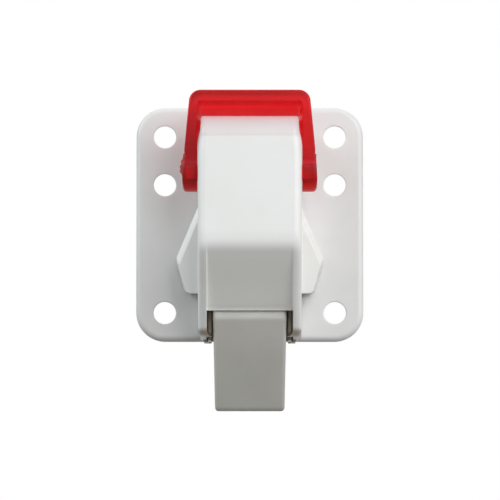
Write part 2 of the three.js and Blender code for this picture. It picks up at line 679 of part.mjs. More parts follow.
place("base_plate", basePlate(), whitePlastic);
place("housing", housing(), whitePlastic);
place("latch_bolt", latchBolt(), greyPlastic);
place("release_bail", releaseBail(), redPlastic);
place("bail_shaft", bailShaft(), steel);
place("crank_spacer", crankSpacer(), bushPlastic);
for (const [name, side] of Object.entries(SIDES)) {
  place(`shaft_bush_${name}`, shaftBush(side), bushPlastic);
  place(`lift_crank_${name}`, liftCrank(side), steel);
  place(`bolt_spring_${name}`, boltSpring(side), steel);
  place(`spring_guide_${name}`, springGuide(side), steel);
  for (const [row, [x, y]] of Object.entries(screwPlaces)) {
    place(`housing_screw_${row}_${name}`, housingScrew(side * x, y), steel);
  }
}

// Stand the drawing up: its y becomes the part's +Z and its z the part's -Y.
lock.rotation.x = Math.PI / 2;
const part = new THREE.Group();
part.add(lock);

export default part;
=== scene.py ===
import bmesh
import bpy
import numpy as np
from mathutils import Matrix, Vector
from mathutils.geometry import delaunay_2d_cdt


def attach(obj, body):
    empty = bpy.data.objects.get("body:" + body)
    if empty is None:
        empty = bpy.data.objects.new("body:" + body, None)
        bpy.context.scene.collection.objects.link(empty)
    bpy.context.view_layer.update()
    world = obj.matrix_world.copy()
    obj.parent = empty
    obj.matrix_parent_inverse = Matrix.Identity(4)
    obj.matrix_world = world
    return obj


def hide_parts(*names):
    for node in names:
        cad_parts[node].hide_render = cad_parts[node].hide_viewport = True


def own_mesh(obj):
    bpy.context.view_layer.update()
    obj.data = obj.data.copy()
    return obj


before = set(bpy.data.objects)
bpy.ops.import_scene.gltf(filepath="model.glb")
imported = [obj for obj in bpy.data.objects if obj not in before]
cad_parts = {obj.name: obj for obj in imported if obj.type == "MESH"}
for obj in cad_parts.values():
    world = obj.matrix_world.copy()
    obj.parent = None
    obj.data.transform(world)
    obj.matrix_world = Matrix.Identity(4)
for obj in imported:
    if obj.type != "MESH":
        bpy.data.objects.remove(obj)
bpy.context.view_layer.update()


# Base plate: a 3 mm plate of glossy white nylon, nearly square, with a rounded rim and six plain holes.
# Two thin rails for the bolt are moulded on its front, and four screws sit in recesses at its back.
# Sizes are in millimetres: x across, d out from the door and z up, with d along the scene's -Y.
MM = 0.001
PLATE_HALF = np.array([25.0, 26.1])
PLATE_MIDDLE = 0.2
PLATE_FRONT = 3.0
PLATE_CORNER = 6.5
PLATE_RIM = 1.2
FIXINGS = [(x, z) for x in (-18.7, 18.7) for z in (19.6, 8.9, -19.6)]
SCREWS = [(-8.8, 17.2), (8.8, 17.2), (-13.55, -9.5), (13.55, -9.5)]
PIN_MARKS = [(-20.6, -6), (20.6, -6), (0, 21.5), (0, 3), (0, -21)]
HOLE_STEPS = 48
PIN_STEPS = 32
RAIL = (8.35, 2.6, -26.3), (9.15, 7, -10.2)
TOE = (8.35, 1.9, -26.3), (10.05, 4.2, -25.7)
RAIL_EDGE = 0.15
SHARP_ANGLE = np.radians(42)
WELD = 1e-6


def place(x, d, z):
    """Points in the lock's x, d and z as one array of rows in the scene's axes, still in millimetres."""
    x, d, z = np.broadcast_arrays(x, d, z)
    return np.stack([x, -d, z], axis=-1).reshape(-1, 3)


def quads(rows, columns, closed=True):
    """Faces of a grid of points kept row by row; closed joins each row's end to its start."""
    index = np.arange(rows * columns).reshape(rows, columns)
    if closed:
        index = np.column_stack([index, index[:, 0]])
    corners = [index[:-1, :-1], index[:-1, 1:], index[1:, 1:], index[1:, :-1]]
    return np.stack(corners, axis=-1).reshape(-1, 4)


def rounded_loop(half_x, half_z, radius, steps):
    """A rectangle with quarter-circle corners, anticlockwise: corner centre + radius (cos t, sin t)."""
    turn = np.linspace(0, np.pi / 2, steps)
    loop = []
    for k, (sx, sz) in enumerate([(1, 1), (-1, 1), (-1, -1), (1, -1)]):
        t = turn + k * np.pi / 2
        loop.append(np.column_stack([
            sx * (half_x - radius) + radius * np.cos(t),
            sz * (half_z - radius) + radius * np.sin(t),
        ]))
    return np.concatenate(loop)


def flat_fill(points, loops):
    """Triangles of the flat region inside the first loop of point numbers and outside the others."""
    used = np.concatenate(loops)
    local = {number: i for i, number in enumerate(used)}
    edges = [(local[a], local[b]) for loop in loops for a, b in zip(loop, np.roll(loop, -1))]
    flat = [Vector(p) for p in points[used]]
    _, _, faces, originals, _, _ = delaunay_2d_cdt(flat, edges, [], 1, 1e-5)
    faces = np.array([[used[originals[v][0]] for v in face] for face in faces])
    keep = np.ones(len(faces), bool)
    for loop in loops[1:]:
        keep &= ~np.isin(faces, loop).all(axis=1)
    return faces[keep]


def join(*parts):
    """One array of points and one list of faces from several parts given as (points, faces)."""
    points, faces, count = [], [], 0
    for part_points, part_faces in parts:
        points.append(part_points)
        faces += [[int(v) + count for v in face] for face in part_faces]
        count += len(part_points)
    return np.concatenate(points), faces


def put_piece(name, points, faces, body, slot, material):
    """A smooth piece from points in millimetres, riding on a body of the lock."""
    mesh = bpy.data.meshes.new(name)
    mesh.from_pydata((points * MM).tolist(), [], [list(map(int, face)) for face in faces])
    shape = bmesh.new()
    shape.from_mesh(mesh)
    bmesh.ops.delete(shape, geom=[v for v in shape.verts if not v.link_faces], context="VERTS")
    bmesh.ops.remove_doubles(shape, verts=shape.verts, dist=WELD)
    bmesh.ops.recalc_face_normals(shape, faces=shape.faces)
    shape.to_mesh(mesh)
    shape.free()
    mesh.shade_smooth()
    mesh.set_sharp_from_angle(angle=SHARP_ANGLE)
    mesh.materials.append(material)
    piece = bpy.data.objects.new(name, mesh)
    bpy.context.scene.collection.objects.link(piece)
    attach(piece, body)
    return piece


def arc(centre, radius, start, end, steps):
    """Points of a circle's arc, centre + radius (cos t, sin t), with t from start to end in degrees."""
    t = np.radians(np.linspace(start, end, steps))
    return np.column_stack([centre[0] + radius * np.cos(t), centre[1] + radius * np.sin(t)])


def lofted(rings):
    """A closed skin through rings of equal count, given as rings x points x 3, with flat end caps."""
    rows, columns, _ = rings.shape
    last = np.arange((rows - 1) * columns, rows * columns)
    caps = [np.arange(columns)[::-1].tolist(), last.tolist()]
    return rings.reshape(-1, 3), quads(rows, columns).tolist() + caps


def soft_box(low, high, radius):
    """A block with rounded edges: rounded rectangles drawn in by radius (1 - sin t) at both ends."""
    steps = 5
    low, high = np.array(low, float), np.array(high, float)
    middle, half = (low + high) / 2, (high - low) / 2
    turn = np.radians(np.linspace(0, 90, steps))
    inset = radius * (1 - np.sin(turn))
    rise = radius * (1 - np.cos(turn))
    levels = [*zip(inset, low[2] + rise), *zip(inset[::-1], high[2] - rise[::-1])]
    rings = []
    for drawn, level in levels:
        loop = rounded_loop(half[0] - drawn, half[1] - drawn, radius, steps)
        rings.append(place(middle[0] + loop[:, 0], middle[1] - loop[:, 1], level))
    return lofted(np.stack(rings))


# A Mix node's colour sockets share their names with its other kinds, so they go by number
MIX_A, MIX_B, MIX_OUT = 6, 7, 2


def node(tree, kind, **settings):
    """A new node with properties and unlinked inputs set by name."""
    made = tree.nodes.new("ShaderNode" + kind)
    for key, value in settings.items():
        if key in made.inputs:
            made.inputs[key].default_value = value
        else:
            setattr(made, key, value)
    return made


def node_group(name, inputs, outputs):
    """An empty shader group with named sockets, each given with its kind."""
    group = bpy.data.node_groups.new(name, "ShaderNodeTree")
    for way, sockets in (("INPUT", inputs), ("OUTPUT", outputs)):
        for socket, kind in sockets.items():
            group.interface.new_socket(socket, in_out=way, socket_type="NodeSocket" + kind)
    return group


def moulded_plastic():
    """Slow clouds mix the two shades, a fine grain shifts the gloss, and both lift the surface."""
    tree = node_group(
        "moulded_plastic", {"Pale": "Color", "Deep": "Color", "Roughness": "Float"},
        {"Color": "Color", "Roughness": "Float", "Height": "Float"},
    )
    given = tree.nodes.new("NodeGroupInput")
    given_out = tree.nodes.new("NodeGroupOutput")
    where = node(tree, "TexCoord")
    clouds = node(tree, "TexNoise", Scale=95.0, Detail=4.0, Roughness=0.6)
    grain = node(tree, "TexNoise", Scale=2600.0, Detail=2.0, Roughness=0.5)
    tone = node(tree, "ValToRGB")
    tone.color_ramp.elements[0].position = 0.34
    tone.color_ramp.elements[1].position = 0.68
    blend = node(tree, "Mix", data_type="RGBA")
    gloss = node(tree, "Math", operation="MULTIPLY_ADD")
    gloss.inputs[1].default_value = 0.14
    height = node(tree, "Math", operation="MULTIPLY_ADD")
    height.inputs[1].default_value = 0.35
    link = tree.links.new
    for noise in (clouds, grain):
        link(where.outputs["Object"], noise.inputs["Vector"])
    link(clouds.outputs["Fac"], tone.inputs["Fac"])
    link(tone.outputs["Color"], blend.inputs["Factor"])
    link(given.outputs["Deep"], blend.inputs[MIX_A])
    link(given.outputs["Pale"], blend.inputs[MIX_B])
    link(blend.outputs[MIX_OUT], given_out.inputs["Color"])
    link(grain.outputs["Fac"], gloss.inputs[0])
    link(given.outputs["Roughness"], gloss.inputs[2])
    link(gloss.outputs[0], given_out.inputs["Roughness"])
    link(grain.outputs["Fac"], height.inputs[0])
    link(clouds.outputs["Fac"], height.inputs[2])
    link(height.outputs[0], given_out.inputs["Height"])
    return tree


moulded = moulded_plastic()


def plastic(name, pale, deep, roughness, relief):
    """Moulded plastic from the shared effect, with the height of its relief in millimetres."""
    material = bpy.data.materials.new(name)
    material.use_nodes = True
    tree = material.node_tree
    shader = tree.nodes["Principled BSDF"]
    effect = tree.nodes.new("ShaderNodeGroup")
    effect.node_tree = moulded
    effect.inputs["Pale"].default_value = (*pale, 1)
    effect.inputs["Deep"].default_value = (*deep, 1)
    effect.inputs["Roughness"].default_value = roughness
    bump = node(tree, "Bump", Strength=0.5, Distance=relief * MM)
    tree.links.new(effect.outputs["Color"], shader.inputs["Base Color"])
    tree.links.new(effect.outputs["Roughness"], shader.inputs["Roughness"])
    tree.links.new(effect.outputs["Height"], bump.inputs["Height"])
    tree.links.new(bump.outputs["Normal"], shader.inputs["Normal"])
    return material


def light_and_shade_block():
    """The tint paints light and shade: it multiplies the colour inside a block, through a mask that fades out
    over a soft edge.

    The mask falls with the largest of |x - middle x| - half x and the same along y and z.
    """
    tree = node_group(
        "light_and_shade_block",
        {"Color": "Color", "Tint": "Color", "Middle": "Vector", "Half": "Vector", "Soft": "Float"},
        {"Color": "Color"},
    )
    given = tree.nodes.new("NodeGroupInput")
    given_out = tree.nodes.new("NodeGroupOutput")
    where = node(tree, "TexCoord")
    off = node(tree, "VectorMath", operation="SUBTRACT")
    size = node(tree, "VectorMath", operation="ABSOLUTE")
    beyond = node(tree, "VectorMath", operation="SUBTRACT")
    split = node(tree, "SeparateXYZ")
    wider = node(tree, "Math", operation="MAXIMUM")
    widest = node(tree, "Math", operation="MAXIMUM")
    fade = node(tree, "MapRange", interpolation_type="SMOOTHSTEP")
    for socket, value in (("From Min", 0), ("To Min", 1), ("To Max", 0)):
        fade.inputs[socket].default_value = value
    blend = node(tree, "Mix", data_type="RGBA", blend_type="MULTIPLY")
    link = tree.links.new
    link(where.outputs["Object"], off.inputs[0])
    link(given.outputs["Middle"], off.inputs[1])
    link(off.outputs[0], size.inputs[0])
    link(size.outputs[0], beyond.inputs[0])
    link(given.outputs["Half"], beyond.inputs[1])
    link(beyond.outputs[0], split.inputs[0])
    link(split.outputs["X"], wider.inputs[0])
    link(split.outputs["Y"], wider.inputs[1])
    link(wider.outputs[0], widest.inputs[0])
    link(split.outputs["Z"], widest.inputs[1])
    link(widest.outputs[0], fade.inputs["Value"])
    link(given.outputs["Soft"], fade.inputs["From Max"])
    link(fade.outputs["Result"], blend.inputs["Factor"])
    link(given.outputs["Color"], blend.inputs[MIX_A])
    link(given.outputs["Tint"], blend.inputs[MIX_B])
    link(blend.outputs[MIX_OUT], given_out.inputs["Color"])
    return tree


light_and_shade_group = light_and_shade_block()


def paint_light_and_shade(material, tint, middle, half, soft):
    """Lays a block of painted light and shade, given in millimetres, over a material's colour."""
    tree = material.node_tree
    base = tree.nodes["Principled BSDF"].inputs["Base Color"]
    effect = tree.nodes.new("ShaderNodeGroup")
    effect.node_tree = light_and_shade_group
    effect.inputs["Tint"].default_value = (*tint, 1)
    effect.inputs["Middle"].default_value = (place(*middle)[0] * MM).tolist()
    effect.inputs["Half"].default_value = [value * MM for value in half]
    effect.inputs["Soft"].default_value = soft * MM
    tree.links.new(base.links[0].from_socket, effect.inputs["Color"])
    tree.links.new(effect.outputs["Color"], base)


# Painted light makes the plate lighter and warmer in the mouth, and painted shade greys its lower left and
# browns the feet of its rails
# Its white is duller than the housing's, partly painted shade for the light that the housing keeps off it
plate_white = plastic("plate_nylon", (0.765, 0.77, 0.765), (0.735, 0.735, 0.73), 0.28, 0.03)
paint_light_and_shade(plate_white, (1.24, 1.15, 1.0), (0, 6, -20.8), (9.6, 2.8, 4.2), 0.5)
paint_light_and_shade(plate_white, (0.9, 0.89, 0.88), (-20, 2, -20), (5, 4, 4), 16)
for side in (-1, 1):
    paint_light_and_shade(plate_white, (0.4, 0.38, 0.33), (side * 8.9, 5, -26.2), (0.9, 3, 1.2), 0.8)


def ring_round(profile, centre, steps):
    """A profile of (radius, d) turned about a line out from the door: centre + radius (cos t, sin t)."""
    t = np.linspace(0, 2 * np.pi, steps, endpoint=False)
    radius, depth = np.array(profile).T[:, :, None]
    points = place(centre[0] + radius * np.cos(t), depth, centre[1] + radius * np.sin(t))
    return points, quads(len(profile), steps)


def base_plate():
    """The rim is a profile of inset and depth carried round the outline, closed by flats with holes.

    The rim and the holes have draft: the outline is 0.25 mm smaller and the holes are wider at the back.
    The mould's ejector pins left five round marks there, sunk by 0.35 mm.
    """
    rim = np.concatenate([
        [(1.3, 0)], arc((0.55, 0.3), 0.3, 270, 180, 5),
        arc((PLATE_RIM, PLATE_FRONT - PLATE_RIM), PLATE_RIM, 180, 90, 13), [(1.6, PLATE_FRONT)],
    ])
    loops = np.stack([rounded_loop(*(PLATE_HALF - inset), PLATE_CORNER - inset, 17) for inset, _ in rim])
    parts = [(place(loops[:, :, 0], rim[:, 1:], loops[:, :, 1] + PLATE_MIDDLE), quads(*loops.shape[:2]))]
    counts = [loops.shape[:2]]
    hole = np.concatenate([
        [(2.9, PLATE_FRONT)], arc((2.65, 2.8), 0.2, 90, 180, 5),
        arc((3.1, 0.2), 0.2, 180, 270, 5), [(3.35, 0)],
    ])
    recess = [
        (1.9, PLATE_FRONT), (1.4, PLATE_FRONT), (1.4, 1.9), (2.5, 1.9), (2.5, 0.15), (2.65, 0), (3, 0),
    ]
    mark = [(1.8, 0), (1.55, 0.35), (0.4, 0.35)]
    turned = (hole, FIXINGS, HOLE_STEPS), (recess, SCREWS, HOLE_STEPS), (mark, PIN_MARKS, PIN_STEPS)
    for profile, centres, steps in turned:
        for centre in centres:
            parts.append(ring_round(profile, centre, steps))
            counts.append((len(profile), steps))
    points, faces = join(*parts)
    starts = np.cumsum([0] + [rows * columns for rows, columns in counts])
    firsts = [np.arange(start, start + columns) for start, (_, columns) in zip(starts, counts)]
    lasts = [np.arange(end - columns, end) for end, (_, columns) in zip(starts[1:], counts)]
    through = 1 + len(FIXINGS) + len(SCREWS)
    across = points[:, [0, 2]]
    front = flat_fill(across, [lasts[0], *firsts[1:through]])
    back = flat_fill(across, [firsts[0], *lasts[1:through], *firsts[through:]])[:, ::-1]
    floors = [loop.tolist() for loop in lasts[through:]]
    plate = points, faces + front.tolist() + back.tolist() + floors
    rails = []
    for side in (-1, 1):
        for low, high in (RAIL, TOE):
            xs = sorted((side * low[0], side * high[0]))
            rails.append(soft_box((xs[0], *low[1:]), (xs[1], *high[1:]), RAIL_EDGE))
    return join(plate, *rails)


plate = put_piece("plate", *base_plate(), "case", "white_plastic", plate_white)
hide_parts("base_plate")


# Housing: one white nylon moulding, a thin shell with an open back, screwed to the plate from behind.
# Its front runs straight down, bends by 38 degrees and ends in a lip over the bolt, between two cheeks.
# The sloped panel lies a little below the cheeks, and a kite-shaped wing stands at each side.
HOUSING_BACK = 3.3
HOUSING_FRONT = 25.5
HOUSING_HALF = 11.35
MOUTH_HALF = 9.45
SHELL_WALL = 1.5
EDGE_ROUND = 1.7
TOP_EDGE = 0.6
TOP_ROUND = 5.5
TOP_FOOT = 15.8
TOP_LEAN = 0.45
SIDE_LEAN = 0.35
LEAN_START = 11
BEND_ROUND = 7.5
BEND_TOP = -4.918
SWELLING = 0.3
SLOPE = np.radians(38)
SLOPE_START = (-9.915, 23.613)
LIP = -20.68
FOOT = -25.9
FOOT_ROUND = 1.3
BEAD = 0.12
PANEL_HEIGHTS = (-20.7, -10.5)
PANEL_SUNK = (1.4, 0.25)
PANEL_COLUMNS = [9.65, 9.58, 9.45, 9.36, 9.3, 9.23, 9.1, 8.5, 7.6, 6.3, 4.8, 3.2, 1.6]
WING_CORNERS = np.array([(11.35, 2.7), (16.1, -8.7), (13.8, -16.8)])
WING_ROOT = 10.4
WING_FRONT = 12.5
WING_BEVEL = 1.1
WING_EDGE = 0.25
WING_UNDERCUT = 0.16
WING_ROUNDS = (0.05, 0.05, 1.2, 0.35)


def ease(low, high, value):
    """A smooth step, s s (3 - 2 s), from 0 where the value is low to 1 where it is high."""
    s = np.clip((value - low) / (high - low), 0, 1)
    return s * s * (3 - 2 * s)


def housing_rows():
    """Down the side line: height, front, half width and corner radius outside, then height and front inside.

    The top is a quarter circle of 5.5 mm whose sides lean in by 0.8 mm, and the bend is an arc of 7.5 mm.
    A swelling of 0.3 mm at the foot of the bend makes it turn later and faster.
    """
    t = np.radians(np.linspace(90, 0, 25))
    inner = TOP_ROUND - SHELL_WALL
    middle = HOUSING_FRONT - TOP_ROUND
    top = np.column_stack([
        TOP_FOOT + TOP_ROUND * np.sin(t), middle + TOP_ROUND * np.cos(t),
        HOUSING_HALF - SIDE_LEAN - TOP_LEAN * np.sin(t), EDGE_ROUND - (EDGE_ROUND - TOP_EDGE) * np.sin(t),
        TOP_FOOT + inner * np.sin(t), middle + inner * np.cos(t),
    ])
    z = np.linspace(TOP_FOOT, BEND_TOP, 18)[1:-1]
    one = np.ones_like(z)
    lean = SIDE_LEAN * np.clip((z - LEAN_START) / (TOP_FOOT - LEAN_START), 0, 1) ** 2
    straight = np.column_stack([
        z, HOUSING_FRONT * one, HOUSING_HALF - lean, EDGE_ROUND * one, z, (HOUSING_FRONT - SHELL_WALL) * one,
    ])
    t = -np.linspace(0, SLOPE, 17)
    inner = BEND_ROUND - SHELL_WALL
    middle = HOUSING_FRONT - BEND_ROUND
    bend = np.column_stack([
        BEND_TOP + BEND_ROUND * np.sin(t), middle + BEND_ROUND * np.cos(t),
        HOUSING_HALF + 0 * t, EDGE_ROUND + 0 * t,
        BEND_TOP + inner * np.sin(t), middle + inner * np.cos(t),
    ])
    round_top = FOOT + FOOT_ROUND
    z = np.concatenate([np.linspace(SLOPE_START[0], LIP, 16)[2:], np.linspace(LIP, round_top, 6)[1:]])
    t = np.radians(np.linspace(0, 90, 9))[1:]
    drawn = np.concatenate([0 * z, FOOT_ROUND * (1 - np.cos(t))])
    z = np.concatenate([z, round_top - FOOT_ROUND * np.sin(t)])
    line = SLOPE_START[1] + (z - SLOPE_START[0]) * np.tan(SLOPE)
    wall = SHELL_WALL / np.cos(SLOPE)
    slope = np.column_stack([z, line - drawn, HOUSING_HALF - drawn, EDGE_ROUND + 0 * z, z, line - wall])
    rows = np.concatenate([top, straight, bend, slope])
    rows[:, 1] += SWELLING * ease(-5.4, -8.8, rows[:, 0]) * ease(-17, -9, rows[:, 0])
    return rows


def housing_grids(rows):
    """Outer and inner skins: straight sides, rounded front corners, then across the front.

    Between the cheeks the front is pressed back, from nothing on the bend to 1.4 mm at the lip.
    """
    z, front, half, radius, z_in, front_in = rows.T[:, :, None]
    u = np.linspace(0, 1, 9)[None, :-1]
    t = np.radians(np.linspace(0, 90, 13))[None, :-1]
    x = np.array(PANEL_COLUMNS)[None]
    corner = front - radius
    leg = half + 0 * u, HOUSING_BACK + (corner - HOUSING_BACK) * u
    bow = half - radius + radius * np.cos(t), corner + radius * np.sin(t)
    pressed = np.interp(z, PANEL_HEIGHTS, PANEL_SUNK) * ease(9.42, 9.26, x) * ease(-7, -11.5, z)
    flat = x * (half - radius) / (HOUSING_HALF - EDGE_ROUND), front - pressed
    outer_x = np.concatenate([part[0] + 0 * z for part in (leg, bow, flat)], axis=1)
    outer_d = np.concatenate([part[1] + 0 * z for part in (leg, bow, flat)], axis=1)
    sides = 0.9
    reach = np.concatenate([sides * u, sides + (1 - sides) * t / (np.pi / 2), 1 + 0 * x], axis=1)
    inner_x = [MOUTH_HALF + 0 * u, MOUTH_HALF + 0 * t, np.minimum(x, MOUTH_HALF)]
    inner_x = np.concatenate(inner_x, axis=1) + 0 * z
    inner_d = HOUSING_BACK + (front_in - HOUSING_BACK) * reach
    grids = []
    for across, depth, height in ((outer_x, outer_d, z), (inner_x, inner_d, z_in)):
        across = np.concatenate([-across, 0 * z, across[:, ::-1]], axis=1)
        depth = np.concatenate([depth, depth[:, -1:], depth[:, ::-1]], axis=1)
        grids.append(place(across, depth, height).reshape(*across.shape, 3))
    return grids


def housing_shell():
    """The two skins joined along the open back, the feet and the mouth by a wall with rounded edges.

    The wall follows the skins' border, which runs down one side, round the mouth and up the other side.
    """
    rows = housing_rows()
    outer, inner = housing_grids(rows)
    count, wide, _ = outer.shape
    lip = int(np.argmin(np.abs(rows[:, 0] - LIP)))
    left = int(np.argmin(np.abs(outer[lip, :, 0] + MOUTH_HALF)))
    right = wide - 1 - left
    last = count - 1
    border = [(r, 0) for r in range(last)] + [(last, c) for c in range(left)]
    border += [(r, left) for r in range(last, lip, -1)] + [(lip, c) for c in range(left, right)]
    border += [(r, right) for r in range(lip, last)] + [(last, c) for c in range(right, wide - 1)]
    border += [(r, wide - 1) for r in range(last, -1, -1)]
    row, column = np.array(border).T
    over_mouth = (row == lip) & (column >= left) & (column <= right)
    row_in = row - ((row == last) | over_mouth)
    column_in = column + (column == 0) + (column == right) - (column == left) - (column == wide - 1)
    start, end = outer[row, column].copy(), inner[row, column].copy()
    across = end - start
    across /= np.linalg.norm(across, axis=1)[:, None]
    along = np.roll(start, -1, axis=0) - np.roll(start, 1, axis=0)
    out = np.cross(along, across)
    out /= np.linalg.norm(out, axis=1)[:, None]
    out *= np.sign(np.sum(out * (start - outer[row_in, column_in]), axis=1))[:, None]
    turn = np.radians(np.linspace(0, 90, 5))[:, None, None]
    back, on = out * BEAD * (1 - np.sin(turn)), across * BEAD * (1 - np.cos(turn))
    strip = np.concatenate([start - back + on, (end - back - on)[::-1]])
    outer[row, column], inner[row, column] = strip[0], strip[-1]
    numbers = np.arange(count * wide).reshape(count, wide)
    skin = quads(count, wide, closed=False).reshape(last, wide - 1, 4)
    kept = np.ones((last, wide - 1), bool)
    kept[lip:, left:right] = False
    faces = skin[kept]
    shift = count * wide
    wall = strip[1:-1]
    wall_numbers = 2 * shift + np.arange(wall[..., 0].size).reshape(len(wall), -1)
    bridge = np.concatenate([numbers[row, column][None], wall_numbers, shift + numbers[row, column][None]])
    onward = np.roll(bridge, -1, axis=1)
    strips = np.stack([bridge[:-1], onward[:-1], onward[1:], bridge[1:]], axis=-1).reshape(-1, 4)
    points = np.concatenate([grid.reshape(-1, 3) for grid in (outer, inner, wall)])
    caps = [numbers[0].tolist(), (shift + numbers[0]).tolist()]
    return points, faces.tolist() + (faces + shift).tolist() + strips.tolist() + caps


def crossing(lines):
    """Corners of a polygon from its edges in turn, each a unit normal n and offset k with n . p = k."""
    corners = []
    for (n, k), (m, j) in zip(lines, lines[1:] + lines[:1]):
        corners.append(np.linalg.solve(np.array([n, m]), np.array([k, j])))
    return np.array(corners)


def rounded_polygon(corners, radii, steps):
    """A polygon whose corners are arcs tangent to both edges, steps points to a corner."""
    loop = []
    for here, before, after, radius in zip(corners, np.roll(corners, 1, 0), np.roll(corners, -1, 0), radii):
        back, on = before - here, after - here
        back, on = back / np.linalg.norm(back), on / np.linalg.norm(on)
        half = np.arccos(np.clip(back @ on, -1, 1)) / 2
        middle = here + (back + on) / np.linalg.norm(back + on) * radius / np.sin(half)
        first = here + back * radius / np.tan(half) - middle
        sweep = np.sign(back[0] * on[1] - back[1] * on[0]) * -(np.pi - 2 * half)
        t = sweep * np.linspace(0, 1, steps)[:, None]
        swing = np.column_stack([-first[1:], first[:1]])
        loop.append(middle + first * np.cos(t) + swing * np.sin(t))
    return np.concatenate(loop)


def outward_line(a, b):
    """The line through two points as its unit normal n towards +x and its offset k, with n . p = k."""
    n = np.array([(b - a)[1], -(b - a)[0]]) / np.linalg.norm(b - a)
    return (-n, -(n @ a)) if n[0] < 0 else (n, n @ a)


def wing(side):
    """A kite from the plate up to 12.5 mm: its upper edge bevelled by 1.1 mm, the rest rounded by 0.25 mm.

    Its lower face is undercut by 0.16 mm to each millimetre of depth.
    """
    top, point, foot = WING_CORNERS
    upper, lower = outward_line(top, point), outward_line(foot, point)
    round_start = WING_FRONT - WING_EDGE
    bevel_start = round_start - 1
    levels = [(0, 0, HOUSING_BACK), (0, 0, bevel_start)]
    levels += [(WING_BEVEL * k, 0, bevel_start + k) for k in np.linspace(0.05, 1.0, 6)]
    for t in np.radians(np.linspace(0, 90, 6)):
        drawn = WING_EDGE * (1 - np.cos(t))
        levels.append((WING_BEVEL + drawn, drawn, round_start + WING_EDGE * np.sin(t)))
    rings = []
    for bevel, inset, depth in levels:
        floor = -foot[1] - inset - WING_UNDERCUT * (WING_FRONT - depth)
        lines = [
            (upper[0], upper[1] - bevel), (np.array([-1.0, 0.0]), -WING_ROOT),
            (np.array([0.0, -1.0]), floor), (lower[0], lower[1] - inset),
        ]
        loop = rounded_polygon(crossing(lines), WING_ROUNDS, 9)
        rings.append(place(side * loop[:, 0], depth, loop[:, 1]))
    return lofted(np.stack(rings))


# Painted light makes the housing lighter and warmer in the mouth and lighter on the panel, and painted pink
# shade lies on top, where light comes through the bail. Painted shade makes its wings a little darker and the
# feet of its cheeks brown.
white = plastic("housing_nylon", (0.865, 0.87, 0.86), (0.84, 0.84, 0.825), 0.24, 0.025)
paint_light_and_shade(white, (1.12, 1.04, 0.91), (0, 7.5, -24), (9.6, 5.1, 3.4), 0.6)
paint_light_and_shade(white, (1.07, 1.07, 1.04), (0, 19, -15.2), (9.1, 6, 5.0), 1.5)
paint_light_and_shade(white, (0.83, 0.7, 0.71), (0, 18, 21.5), (11, 6, 3.8), 2.2)
paint_light_and_shade(white, (0.915, 0.885, 0.895), (0, 18, 24), (10.2, 9, 7.6), 0.5)
for side in (-1, 1):
    paint_light_and_shade(white, (0.95, 0.95, 0.94), (side * 14.6, 8, -7), (2.9, 6, 11), 0.4)
    paint_light_and_shade(white, (0.4, 0.36, 0.31), (side * 9.9, 8, -26.2), (1, 6, 1), 1.3)
shell = put_piece("shell", *join(housing_shell(), wing(-1), wing(1)), "case", "white_plastic", white)
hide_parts("housing")


# Bolt: a satin grey acetal wedge that slides between the plate's rails, bevelled in front so that it rides
# over the keeper. Inside the housing a flat stem carries ears over the rails and two slotted lugs for the
# cranks, and two pockets in its shoulder take the springs.
BOLT_BACK = 3.3
BOLT_FRONT = 13.1
BOLT_HALF = 8.05
BOLT_BEND = 1.5
SHOULDER = -12.566
BEVEL_TOP = -22.28
TIP_START = -40.6
TIP_FRONT = 4.95
TIP_ROUND = 0.9
TIP_DRAWN = 0.7
FRONT_EDGE = 0.9
BACK_EDGE = 0.3
TAPER = 0.4
TAPER_LENGTH = 18.3
SPRING_PLACE = (4.8, 9.7)
POCKET = np.array([(2.7, SHOULDER), (2.4, SHOULDER - 0.3), (2.4, -20.966), (0.8, -20.966)])
POCKET_STEPS = 32
STEM = (-6.3, 3.3, -13), (6.3, 7.3, 8.21)
EARS = (-9.15, 3.3, -9.9), (9.15, 7.3, -7)
LUG_SIDES = (2.8, 6.2), (-6.2, -2.8)
LUG_BACK = 3.4
LUG_FRONT = 11.4
LUG_FEET = (1.01, 6.41)
LUG_HEIGHT = 1.8
STEM_EDGE = 0.2


def bolt_rows():
    """Height, front and half width down the wedge.

    It is flat, then bent by an arc of 1.5 mm, bevelled in a straight line and rounded off at its tip.
    """
    fall = (BOLT_FRONT - TIP_FRONT) / (BEVEL_TOP - TIP_START)
    angle = np.arctan(fall)
    t = np.linspace(0, angle, 6)
    bend_top = BEVEL_TOP + BOLT_BEND * np.tan(angle / 2)
    flat, low = [SHOULDER, -15, -18], np.linspace(-24, TIP_START, 14)
    z = np.concatenate([flat, bend_top - BOLT_BEND * np.sin(t), low])
    front = np.concatenate([
        np.full(len(flat), BOLT_FRONT), BOLT_FRONT - BOLT_BEND * (1 - np.cos(t)),
        BOLT_FRONT - (BEVEL_TOP - low) * fall,
    ])
    half = BOLT_HALF - TAPER * np.clip((BEVEL_TOP - z) / TAPER_LENGTH, 0, 1)
    t = np.radians(np.linspace(0, 90, 8))[1:]
    end_z = TIP_START - TIP_ROUND * np.sin(t)
    drawn = TIP_DRAWN * (1 - np.cos(t))
    end_front = BOLT_FRONT - (BEVEL_TOP - end_z) * fall - drawn / 2
    end_half = BOLT_HALF - TAPER - drawn
    return np.concatenate([np.column_stack([z, front, half]), np.column_stack([end_z, end_front, end_half])])


